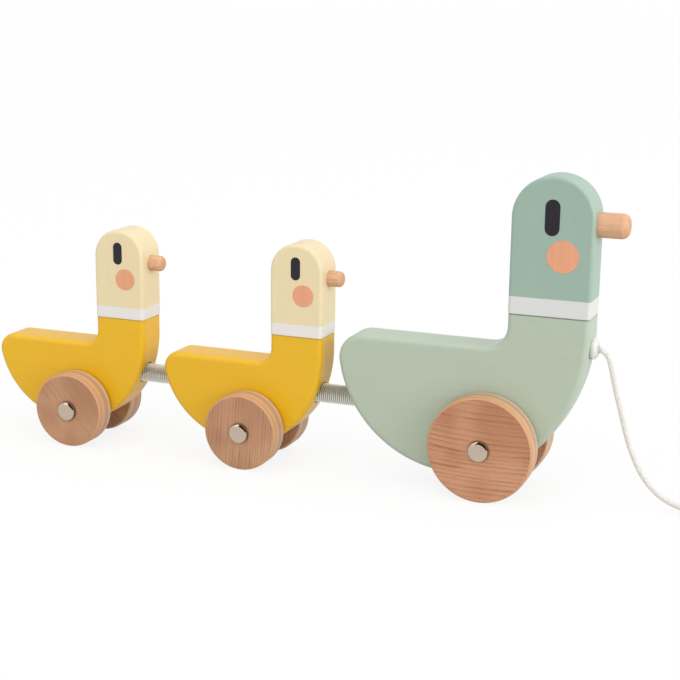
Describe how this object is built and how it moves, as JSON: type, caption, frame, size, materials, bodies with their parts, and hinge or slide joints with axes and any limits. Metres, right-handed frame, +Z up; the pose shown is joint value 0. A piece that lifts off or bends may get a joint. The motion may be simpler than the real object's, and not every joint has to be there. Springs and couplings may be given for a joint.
{
  "type": "pull-along duck train",
  "caption": "Wooden pull-along duck train: a mother and smaller ducklings on turned wheels, coupled by coil springs and drawn by a cotton cord.",
  "frame": {"origin": "on the floor under the middle of the three ducks, cord left out", "axes": "+X forward, the way the train is drawn; +Y to the ducks' left; +Z up"},
  "size_m": [0.4612, 0.0724, 0.1713],
  "materials": {
    "sage_paint": "matt water paint, pale sage green",
    "pond_green_paint": "matt water paint, grey green",
    "yellow_paint": "matt water paint, warm yellow",
    "cream_paint": "matt water paint, cream",
    "white_paint": "matt water paint, white",
    "beech": "oiled turned beech",
    "wheel_wood": "oiled turned hardwood with open grain",
    "axle_steel": "drawn bright",
    "nickel": "nickel plated",
    "nylon": "natural nylon",
    "black_print": "printed ink film",
    "coral_print": "printed ink film",
    "spring_steel": "zinc plated wire",
    "cord": "round braided cotton",
    "cord_plug": "moulded, satin white",
    "paper_tie": "paper band"
  },
  "bodies": {
    "mother_wheel_right": {"mother_wheel_right": "wheel_wood"},
    "mother_wheel_left": {"mother_wheel_left": "wheel_wood"},
    "mother": {"mother_body": "sage_paint", "mother_collar": "white_paint", "mother_head": "pond_green_paint", "mother_beak": "beech", "mother_neck_dowel": "beech", "mother_axle": "axle_steel", "mother_hub_caps": "nickel", "mother_washers": "nylon", "mother_eyes": "black_print", "mother_cheeks": "coral_print", "mother_spring_peg": "beech", "cord_plug": "cord_plug", "anchor_knot": "cord", "pull_cord": "cord", "pull_cord_coil": "cord", "coil_tie": "paper_tie", "end_knot": "cord"},
    "front_duckling_wheel_right": {"front_duckling_wheel_right": "wheel_wood"},
    "front_duckling_wheel_left": {"front_duckling_wheel_left": "wheel_wood"},
    "front_duckling": {"front_duckling_body": "yellow_paint", "front_duckling_collar": "white_paint", "front_duckling_head": "cream_paint", "front_duckling_beak": "beech", "front_duckling_neck_dowel": "beech", "front_duckling_axle": "axle_steel", "front_duckling_hub_caps": "nickel", "front_duckling_washers": "nylon", "front_duckling_eyes": "black_print", "front_duckling_cheeks": "coral_print", "front_duckling_spring_pegs": "beech"},
    "rear_duckling_wheel_right": {"rear_duckling_wheel_right": "wheel_wood"},
    "rear_duckling_wheel_left": {"rear_duckling_wheel_left": "wheel_wood"},
    "rear_duckling": {"rear_duckling_body": "yellow_paint", "rear_duckling_collar": "white_paint", "rear_duckling_head": "cream_paint", "rear_duckling_beak": "beech", "rear_duckling_neck_dowel": "beech", "rear_duckling_axle": "axle_steel", "rear_duckling_hub_caps": "nickel", "rear_duckling_washers": "nylon", "rear_duckling_eyes": "black_print", "rear_duckling_cheeks": "coral_print", "rear_duckling_spring_peg": "beech"},
    "front_spring": {"front_spring": "spring_steel"},
    "rear_spring": {"rear_spring": "spring_steel"}
  },
  "joints": [
    {"name": "mother_wheel_right_spin", "type": "hinge", "parent": "mother", "child": "mother_wheel_right", "pos_m": [0.11633, -0.0185, 0.0285], "axis": [0, 1, 0], "continuous": true},
    {"name": "mother_wheel_left_spin", "type": "hinge", "parent": "mother", "child": "mother_wheel_left", "pos_m": [0.11633, 0.0185, 0.0285], "axis": [0, 1, 0], "continuous": true},
    {"name": "front_duckling_wheel_right_spin", "type": "hinge", "parent": "front_duckling", "child": "front_duckling_wheel_right", "pos_m": [-0.02033, -0.0185, 0.0215], "axis": [0, 1, 0], "continuous": true},
    {"name": "front_duckling_wheel_left_spin", "type": "hinge", "parent": "front_duckling", "child": "front_duckling_wheel_left", "pos_m": [-0.02033, 0.0185, 0.0215], "axis": [0, 1, 0], "continuous": true},
    {"name": "rear_duckling_wheel_right_spin", "type": "hinge", "parent": "rear_duckling", "child": "rear_duckling_wheel_right", "pos_m": [-0.12957, -0.0185, 0.0215], "axis": [0, 1, 0], "continuous": true},
    {"name": "rear_duckling_wheel_left_spin", "type": "hinge", "parent": "rear_duckling", "child": "rear_duckling_wheel_left", "pos_m": [-0.12957, 0.0185, 0.0215], "axis": [0, 1, 0], "continuous": true},
    {"name": "front_spring_yaw", "type": "hinge", "parent": "mother", "child": "front_spring", "pos_m": [0.029, 0, 0.0428], "axis": [0, 0, 1], "range_deg": [-25, 25], "stiffness_Nm_per_rad": 0.3, "deforming": ["front_spring"]},
    {"name": "front_duckling_pitch", "type": "hinge", "parent": "front_spring", "child": "front_duckling", "pos_m": [0.029, 0, 0.0428], "axis": [0, 1, 0], "range_deg": [-8, 8], "stiffness_Nm_per_rad": 0.3, "deforming": ["front_spring"]},
    {"name": "rear_spring_yaw", "type": "hinge", "parent": "front_duckling", "child": "rear_spring", "pos_m": [-0.08193, 0, 0.0428], "axis": [0, 0, 1], "range_deg": [-25, 25], "stiffness_Nm_per_rad": 0.3, "deforming": ["rear_spring"]},
    {"name": "rear_duckling_pitch", "type": "hinge", "parent": "rear_spring", "child": "rear_duckling", "pos_m": [-0.08193, 0, 0.0428], "axis": [0, 1, 0], "range_deg": [-8, 8], "stiffness_Nm_per_rad": 0.3, "deforming": ["rear_spring"]}
  ]
}
